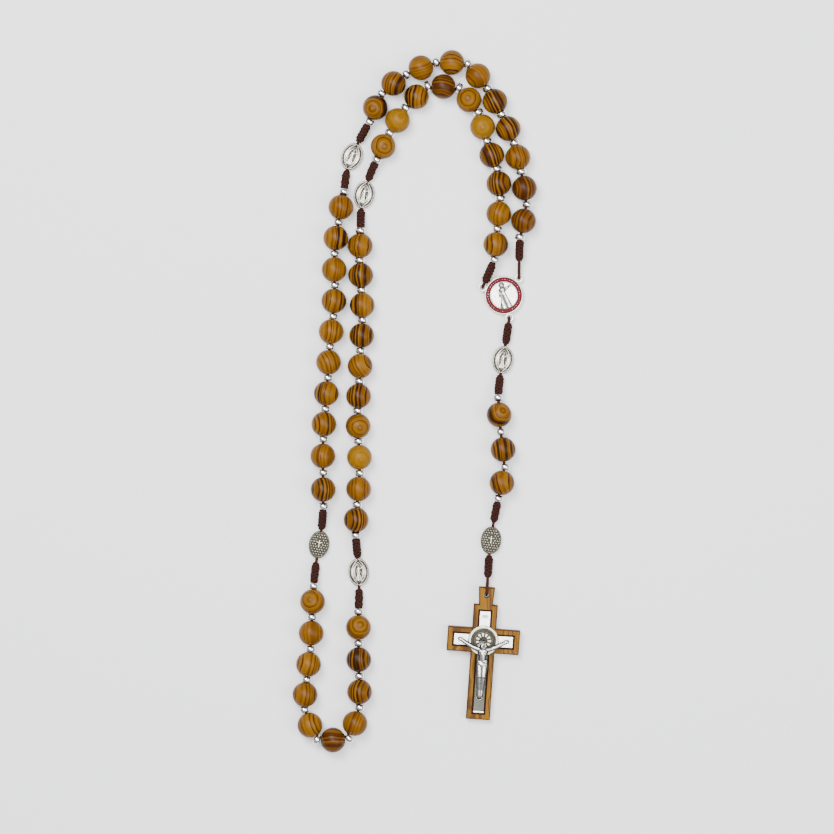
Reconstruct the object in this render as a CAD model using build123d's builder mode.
"""Rosary of wooden beads: five groups of ten on a closed loop, and a pendant that ends in a crucifix.

Millimetres, +Z up.  The rosary lies on Z = 0 with its faces up and the pendant towards -Y.
Every threaded piece is placed along its cord, whose route is walked from heading to heading.
"""
import math
import os

from build123d import *

os.makedirs("parts", exist_ok=True)

# Cord
CORD_RADIUS = 0.6
CORD_SLACK = 0.35  # how far the cord may cut a corner inside the bores
TIGHTEST = 6 * CORD_RADIUS

# Beads
BEAD_RADIUS = 5.0
BEAD_BORE = 1.1
BEAD_MOUTH = 0.4

# Spacers
SPACER_RADIUS = 1.98
SPACER_BORE = 1.15
SPACER_PROFILE = [(SPACER_BORE, 0.95), (1.45, 0.82), (1.78, 0.52), (SPACER_RADIUS, 0.22)]  # radius, half length

# Knotted sleeves
KNOT_LENGTH = 7.4
KNOT_RADIUS = 1.6
KNOT_END_RADIUS = 1.15
KNOT_BORE = 1.0

# Oval medals
MEDAL_LENGTH = 11.1
MEDAL_WIDTH = 8.2
MEDAL_EDGE = 1.5
MEDAL_BARREL = 1.45
MEDAL_HEIGHT = 1.5

# Centre medal
CENTRE_RADIUS = 7.7
CENTRE_THICKNESS = 2.0
CENTRE_RIM = 0.5
CENTRE_BASE = 0.9
CENTRE_TURN = 14
RING_RADIUS = 1.75
RING_HOLE = 1.0
RING_THICKNESS = 0.9
RING_REACH = CENTRE_RADIUS + 1.45
RING_ANGLES = {"left": 145.5, "right": 34.5, "lower": -90}
RING_LEVEL = CENTRE_BASE + CENTRE_THICKNESS / 2
EYE_RADIUS = 2 * CORD_RADIUS  # fold of the cord round the edge of a ring

# Crucifix
CROSS_THICKNESS = 4.0
CROSS_TURN = -4
CROSS_LIFT = 1.35  # room under the tab for the cord
HOLE_RADIUS = 1.1
HOLE_TO_TOP = 3.2
TAB = 7.0
TAB_TOP_WIDTH = 6.5
TAB_WIDTH = 5.5  # where it meets the upper arm
UPPER_ARM = 9.5
BAR = 9.8
LOWER_ARM = 26.8
UPRIGHT = 9.6
SPAN = 28.9
BORDER = 2.0
RECESS = 0.9
FIT = 0.15  # all round the metal in its recess
PLATE_BACK = CROSS_THICKNESS - RECESS + 0.05
PLATE_FRONT = CROSS_THICKNESS - 0.15
DISC_RADIUS = 6.1
DISC_FRONT = CROSS_THICKNESS + 0.9
BAR_CENTRE = HOLE_TO_TOP - TAB - UPPER_ARM - BAR / 2
FOOT = HOLE_TO_TOP - TAB - UPPER_ARM - BAR - LOWER_ARM
FEET_REST = (-0.2, BAR_CENTRE - 22.7)

# Route of the loop: (heading in degrees, run in plan) of each piece, from the left ring of the centre medal.
DECADE_1 = [
    (86, 12.4), (83, 12.3), (97, 11.9), (111, 11.8), (105, 12.0),
    (128, 12.6), (177, 12.7), (225, 12.5), (238, 11.9), (244, 11.8),
]
DECADE_2 = [
    (268, 11.8), (274, 11.9), (272, 12.0), (266, 12.3), (268, 12.2),
    (266, 11.8), (272, 12.2), (273, 12.8), (264, 12.6), (267, 12.2),
]
DECADE_3 = [
    (270, 12.6), (271, 13.1), (272, 12.6), (252, 13.4), (182, 13.4),
    (112, 13.3), (85, 12.1), (82, 12.3), (88, 12.8), (87, 12.4),
]
DECADE_4 = [
    (91, 13.4), (90, 13.4), (86, 12.1), (85, 12.5), (87, 12.5),
    (83, 12.1), (87, 12.5), (92, 12.6), (82, 12.7), (79, 12.4),
]
DECADE_5 = [
    (68, 12.4), (38, 12.6), (22, 12.9), (-3, 12.8), (-51, 12.8),
    (-62, 11.8), (-66, 12.5), (-77, 11.8), (-79, 13.4), (-104, 13.4),
]
LOOP = [
    ("knot", [(66, 10.0)]),
    ("bead", DECADE_1),
    ("link", [(245, 8.9), (257, 11.7), (270, 9.0)]),
    ("bead", DECADE_2),
    ("link", [(276, 9.1), (273, 11.8), (268, 9.8)]),
    ("bead", DECADE_3),
    ("link", [(84, 10.7), (80, 11.9), (85, 9.6)]),
    ("bead", DECADE_4),
    ("link", [(84, 9.0), (68, 11.7), (59, 9.5)]),
    ("bead", DECADE_5),
    ("knot", [(-90, 14.0)]),
]

# Route of the pendant, from the lower ring of the centre medal to the neck above the crucifix.
PENDANT = [
    ("link", [(262, 9.4), (260, 11.7), (263, 9.5)]),
    ("bead", [(275, 13.7), (278, 14.2), (257, 12.9)]),
    ("link", [(259, 11.2), (263, 11.8), (266, 9.8)]),
]
NECK_LEVEL = 3.3

# Where the centre medal lies
CENTRE_MEDAL = Vector(35.68, 42.43, 0)


def heading(angle):
    """Level unit vector at an angle from +X."""
    return Vector(math.cos(math.radians(angle)), math.sin(math.radians(angle)), 0)


def ring_centre(name):
    """Centre of one ring of the centre medal."""
    place = CENTRE_MEDAL + heading(RING_ANGLES[name] + CENTRE_TURN) * RING_REACH
    return Vector(place.X, place.Y, RING_LEVEL)


def walk(start, groups, end):
    """Corner points of a route from start to end, and the kind of piece on each run."""
    corners = [start]
    kinds = []
    for kind, runs in groups:
        for number, (angle, run) in enumerate(runs):
            kinds.append(("knot", "medal", "knot")[number] if kind == "link" else kind)
            corners.append(corners[-1] + heading(angle) * run)
    for number in range(1, len(kinds)):
        between = kinds[number - 1 : number + 1]
        corners[number].Z = BEAD_RADIUS if "bead" in between else MEDAL_HEIGHT
    corners[-1] = end or Vector(corners[-1].X, corners[-1].Y, NECK_LEVEL)
    return corners, kinds


def eye(name, angle, tail, level):
    """Corner points of the cord's fold round a ring, from its end in the sleeve, under and over."""
    centre = ring_centre(name)
    rise = Vector(0, 0, EYE_RADIUS + 0.02)
    outward = heading(angle)
    return [
        Vector(centre.X, centre.Y, level) + outward * tail,
        centre + outward * 2.1 - rise,
        centre - rise,
        centre + rise,
        centre + outward * 1.9 + rise,
    ]


EYE_RADII = [1.1, EYE_RADIUS, EYE_RADIUS, 4.0]


def corner_radius(before, corner, after):
    """Radius of the cord's arc at a corner: large, but no further inside the corner than the slack."""
    inward = corner - before
    outward = after - corner
    half = math.radians(inward.get_angle(outward)) / 2
    room = 0.45 * min(inward.length, outward.length) / math.tan(half)
    held = CORD_SLACK / (1 / math.cos(half) - 1)
    return min(room, max(held, TIGHTEST))


def spacer_plane(before, corner, after):
    """Plane across the cord at a corner, partly out from the cord's arc towards the corner."""
    inward = (corner - before).normalized()
    outward = (after - corner).normalized()
    half = math.radians(inward.get_angle(outward)) / 2
    depth = corner_radius(before, corner, after) * (1 / math.cos(half) - 1)
    inside = (outward - inward).normalized()
    return Plane(origin=corner + inside * (0.55 * depth), z_dir=inward + outward)


def run_plane(start, end):
    """Plane across a run at its middle, with its local Y axis level."""
    along = end - start
    side = Vector(0, 0, 1).cross(along)
    return Plane(origin=(start + end) * 0.5, x_dir=side, z_dir=along)


def cord(points, radii):
    """Plain tube along straight runs joined by arcs."""
    with BuildPart() as tube:
        with BuildLine() as path:
            centreline = FilletPolyline(*points, radius=radii)
        with BuildSketch(Plane(origin=points[0], z_dir=points[1] - points[0])):
            Circle(CORD_RADIUS)
        sweep(path=path.line)
    length = centreline.length
    section = math.pi * CORD_RADIUS**2
    print("cord length", round(length, 1), "volume over section x length",
          round(tube.part.volume / (section * length), 4))
    print("cord radii", [round(r, 2) for r in radii])
    return tube.part


def bead_solid():
    """Round bead, bored along Z, with countersunk mouths."""
    with BuildPart() as ball:
        Sphere(BEAD_RADIUS)
        Cylinder(BEAD_BORE, 2 * BEAD_RADIUS, mode=Mode.SUBTRACT)
        mouths = ball.edges().filter_by(GeomType.CIRCLE).group_by(Axis.Z)
        chamfer(mouths[0] + mouths[-1], BEAD_MOUTH)
    return ball.part


def spacer_solid():
    """Small flattened bead, bored along Z."""
    profile = SPACER_PROFILE + [(radius, -level) for radius, level in reversed(SPACER_PROFILE)]
    with BuildPart() as ring:
        with BuildSketch(Plane.XZ):
            with BuildLine():
                Polyline(*profile, close=True)
            make_face()
        revolve(axis=Axis.Z)
    return ring.part


def knot_solid():
    """Knotted sleeve, thick in the middle, bored along Z."""
    half = KNOT_LENGTH / 2
    with BuildPart() as sleeve:
        with BuildSketch(Plane.XZ):
            with BuildLine():
                Polyline(
                    (KNOT_BORE, half),
                    (KNOT_END_RADIUS, half),
                    (KNOT_RADIUS, 0.5 * half),
                    (KNOT_RADIUS, -0.5 * half),
                    (KNOT_END_RADIUS, -half),
                    (KNOT_BORE, -half),
                    close=True,
                )
            make_face()
        revolve(axis=Axis.Z)
    return sleeve.part


def medal_solid():
    """Oval medal with a barrel for the cord along Z; its faces look along Y."""
    half = MEDAL_LENGTH / 2
    with BuildPart() as oval:
        with BuildSketch(Plane.XZ):
            Ellipse(MEDAL_WIDTH / 2, half)
        extrude(amount=MEDAL_EDGE / 2, both=True)
        rims = oval.faces().filter_by(Axis.Y).edges()
        chamfer(rims, 0.35)
        Cylinder(MEDAL_BARREL, MEDAL_LENGTH - 0.4)
        Cylinder(KNOT_BORE, 2 * MEDAL_LENGTH, mode=Mode.SUBTRACT)
    return oval.part


def placed(solid, plane):
    """A copy of a solid moved into a plane's own axes."""
    return plane.location * solid


def save(name, part):
    """Write one named piece, or one named group of separate solids."""
    part.label = name
    export_step(part, "parts/" + name + ".step")


def centre_medal_solid():
    """Round medal with a raised rim, a relief figure and three rings for cords."""
    field = Plane(origin=CENTRE_MEDAL + Vector(0, 0, CENTRE_BASE), x_dir=heading(CENTRE_TURN))
    ring_floor = RING_LEVEL - RING_THICKNESS / 2 - CENTRE_BASE
    rings = [(RING_REACH * heading(angle).X, RING_REACH * heading(angle).Y) for angle in RING_ANGLES.values()]
    with BuildPart() as medallion:
        with BuildSketch(field):
            Circle(CENTRE_RADIUS)
        extrude(amount=CENTRE_THICKNESS)
        chamfer(medallion.edges().filter_by(GeomType.CIRCLE), 0.25)
        with BuildSketch(field.offset(ring_floor)):
            with Locations(*rings):
                Circle(RING_RADIUS)
        extrude(amount=RING_THICKNESS)
        with BuildSketch(field.offset(CENTRE_THICKNESS - 0.35)):
            Circle(CENTRE_RADIUS - CENTRE_RIM)
            Circle(CENTRE_RADIUS - CENTRE_RIM - 1.5, mode=Mode.SUBTRACT)
        extrude(amount=1, mode=Mode.SUBTRACT)
        with BuildSketch(field.offset(CENTRE_THICKNESS - 0.3)):
            Circle(CENTRE_RADIUS - CENTRE_RIM - 1.8)
        extrude(amount=1, mode=Mode.SUBTRACT)
        with BuildSketch(field.offset(CENTRE_THICKNESS - 0.4)):
            with BuildLine():
                Polyline((-2.0, -4.9), (2.0, -4.9), (1.1, 0.4), (1.5, 2.6), (-1.4, 2.6), (-1.2, 0.4), close=True)
            make_face()
            with Locations((0, 3.4)):
                Circle(0.95)
        extrude(amount=0.7)
        with BuildSketch(field):
            with Locations(*rings):
                Circle(RING_HOLE)
        extrude(amount=CENTRE_THICKNESS, mode=Mode.SUBTRACT)
    return medallion.part


def cross_outline(inset, tab):
    """Points of the cross's outline, moved in from the edges, with or without the tab."""
    wide = UPRIGHT / 2 - inset
    span = SPAN / 2 - inset
    top = HOLE_TO_TOP - TAB - inset
    high = BAR_CENTRE + BAR / 2 - inset
    low = BAR_CENTRE - BAR / 2 + inset
    foot = FOOT + inset
    right = [(wide, top), (wide, high), (span, high), (span, low), (wide, low), (wide, foot)]
    if tab:
        right = [(TAB_TOP_WIDTH / 2, HOLE_TO_TOP), (TAB_WIDTH / 2, top)] + right
    return right + [(-x, y) for x, y in reversed(right)]


def cross_board(board):
    """Wooden cross with a recess for its inlay and a hole through its tab."""
    with BuildPart() as wood:
        with BuildSketch(board):
            with BuildLine():
                Polyline(*cross_outline(0, True), close=True)
            make_face()
        extrude(amount=CROSS_THICKNESS)
        chamfer(wood.faces().sort_by(Axis(board.origin, board.z_dir))[-1].edges(), 0.4)
        with BuildSketch(board.offset(CROSS_THICKNESS - RECESS)):
            with BuildLine():
                Polyline(*cross_outline(BORDER, False), close=True)
            make_face()
        extrude(amount=RECESS, mode=Mode.SUBTRACT)
        with BuildSketch(board):
            Circle(HOLE_RADIUS)
        extrude(amount=CROSS_THICKNESS, mode=Mode.SUBTRACT)
    return wood.part


def cross_inlay(board):
    """Metal plate in the recess, with the round plate behind the head and the rest under the feet."""
    with BuildPart() as metal:
        with BuildSketch(board.offset(PLATE_BACK)):
            with BuildLine():
                Polyline(*cross_outline(BORDER + FIT, False), close=True)
            make_face()
        extrude(amount=PLATE_FRONT - PLATE_BACK)
        with BuildSketch(board.offset(PLATE_FRONT - 0.1)):
            with Locations((0, BAR_CENTRE)):
                Circle(UPRIGHT / 2 - BORDER - FIT)
            with Locations(FEET_REST):
                Circle(1.1)
        extrude(amount=0.6)
        with BuildSketch(board.offset(CROSS_THICKNESS + 0.05)):
            with Locations((0, BAR_CENTRE)):
                Circle(DISC_RADIUS)
        extrude(amount=DISC_FRONT - CROSS_THICKNESS - 0.05)
    return metal.part


# Corpus: (start, end, start radius, end radius) of each limb, measured from the middle of the crossbar,
# with heights above the front of the round plate.
TORSO = [
    ((-0.4, -0.9, 1.35), (-0.2, -3.0, 1.0), 1.05, 0.55),
    ((0.0, -3.0, 1.35), (0.0, -8.2, 1.4), 1.5, 1.15),
    ((0.0, -7.6, 1.4), (0.0, -11.4, 1.4), 1.2, 1.5),
]
LIMBS = [
    ((1.3, -3.6, 1.2), (5.6, -2.1, 0.95), 0.7, 0.55),
    ((5.6, -2.1, 0.95), (9.4, 0.3, 0.75), 0.55, 0.42),
    ((0.65, -10.8, 1.5), (0.55, -15.4, 1.8), 0.9, 0.75),
    ((0.55, -15.4, 1.8), (0.35, -21.4, 1.0), 0.75, 0.5),
]


def limb(board, start, end, start_radius, end_radius):
    """Tapered limb with a round joint at each end."""
    lift = Vector(0, BAR_CENTRE, DISC_FRONT + 0.2)
    first = board.from_local_coords(Vector(*start) + lift)
    last = board.from_local_coords(Vector(*end) + lift)
    along = last - first
    with BuildPart(Plane(origin=first, z_dir=along)) as shape:
        Cone(start_radius, end_radius, along.length, align=(Align.CENTER, Align.CENTER, Align.MIN))
        Sphere(start_radius)
        with Locations((0, 0, along.length)):
            Sphere(end_radius)
    return shape.part


def corpus_solid(board):
    """Figure on the crucifix, in plain tapered limbs."""
    pieces = [limb(board, *sizes) for sizes in TORSO + LIMBS]
    for (x, y, z), (x2, y2, z2), first, last in LIMBS:
        pieces.append(limb(board, (-x, y, z), (-x2, y2, z2), first, last))
    with BuildPart() as figure:
        for piece in pieces:
            add(piece)
    return figure.part


def group(solids):
    """Separate solids that share one node."""
    return Compound(children=solids)


# Loop route
first_heading = LOOP[0][1][0][0]
last_heading = LOOP[-1][1][0][0]
loop_start = eye("left", first_heading, 3.0, RING_LEVEL + 0.15)
loop_end = eye("right", last_heading + 180, 6.2, RING_LEVEL + 0.55)
loop_corners, loop_kinds = walk(loop_start[-1], LOOP, loop_end[-1])

# Pendant route
pendant_start = eye("lower", PENDANT[0][1][0][0], 2.75, RING_LEVEL - 0.1)
pendant_corners, pendant_kinds = walk(pendant_start[-1], PENDANT, None)
neck = pendant_corners[-1]
down = heading(CROSS_TURN - 90)
hole = Vector(neck.X, neck.Y, 0) + down * 6.1
tilt = math.asin(CROSS_LIFT / -FOOT)
board_z = Vector(0, 0, 1) * math.cos(tilt) + down * math.sin(tilt)
BOARD = Plane(origin=hole + Vector(0, 0, CROSS_LIFT), x_dir=heading(CROSS_TURN), z_dir=board_z)
over = CROSS_LIFT + CROSS_THICKNESS + 0.75
under = CORD_RADIUS + 0.05
pendant_end = [
    Vector(neck.X, neck.Y, over) + down * 2.0,
    Vector(hole.X, hole.Y, over),
    Vector(hole.X, hole.Y, under),
    Vector(neck.X, neck.Y, under) + down * 2.2,
    Vector(neck.X, neck.Y, 2.1) - down * 0.8,
]
PENDANT_END_RADII = [1.8, 1.8, EYE_RADIUS, EYE_RADIUS, 2.0]


def inner_radii(corners):
    """Arc radii at every corner between a route's first and last."""
    return [corner_radius(*corners[i - 1 : i + 2]) for i in range(1, len(corners) - 1)]


def threaded(corners, kinds):
    """Planes of the beads, spacers, sleeves and medals along a route."""
    planes = {"bead": [], "spacer": [], "knot": [], "medal": []}
    for number, kind in enumerate(kinds):
        start, end = corners[number], corners[number + 1]
        if kind == "knot":
            after_bead = number > 0 and kinds[number - 1] == "bead"
            before_bead = number + 1 < len(kinds) and kinds[number + 1] == "bead"
            along = (end - start).normalized()
            reach = 1.45 + KNOT_LENGTH / 2
            middle = (start + end) * 0.5
            if after_bead:
                middle = start + along * reach
            if before_bead:
                middle = end - along * reach
            plane = run_plane(start, end)
            planes[kind].append(Plane(origin=middle, x_dir=plane.x_dir, z_dir=plane.z_dir))
        else:
            planes[kind].append(run_plane(start, end))
        if number > 0 and "bead" in kinds[number - 1 : number + 1]:
            planes["spacer"].append(spacer_plane(*corners[number - 1 : number + 2]))
    return planes


bead = bead_solid()
spacer = spacer_solid()
knot = knot_solid()
medal = medal_solid()

loop = threaded(loop_corners, loop_kinds)
loop_path = loop_start[:-1] + loop_corners + loop_end[-2::-1]
loop_radii = EYE_RADII + inner_radii(loop_corners) + EYE_RADII[::-1]
loop_tube = cord(loop_path, loop_radii)
save("loop_cord", group([loop_tube] + [placed(knot, plane) for plane in loop["knot"]]))
save("loop_spacers", group([placed(spacer, plane) for plane in loop["spacer"]]))
save("loop_medals", group([placed(medal, plane) for plane in loop["medal"]]))
save("centre_medal", centre_medal_solid())
for number, plane in enumerate(loop["bead"], 1):
    save(f"bead_{number:02d}", placed(bead, plane))

pendant = threaded(pendant_corners, pendant_kinds)
pendant_path = pendant_start[:-1] + pendant_corners + pendant_end
pendant_radii = EYE_RADII + inner_radii(pendant_corners) + PENDANT_END_RADII
pendant_tube = cord(pendant_path, pendant_radii)
save("pendant_cord", group([pendant_tube] + [placed(knot, plane) for plane in pendant["knot"]]))
save("pendant_spacers", group([placed(spacer, plane) for plane in pendant["spacer"]]))
save("pendant_medals", group([placed(medal, plane) for plane in pendant["medal"]]))
save("pendant_beads", group([placed(bead, plane) for plane in pendant["bead"]]))

save("cross_wood", cross_board(BOARD))
save("cross_metal", group([cross_inlay(BOARD), corpus_solid(BOARD)]))
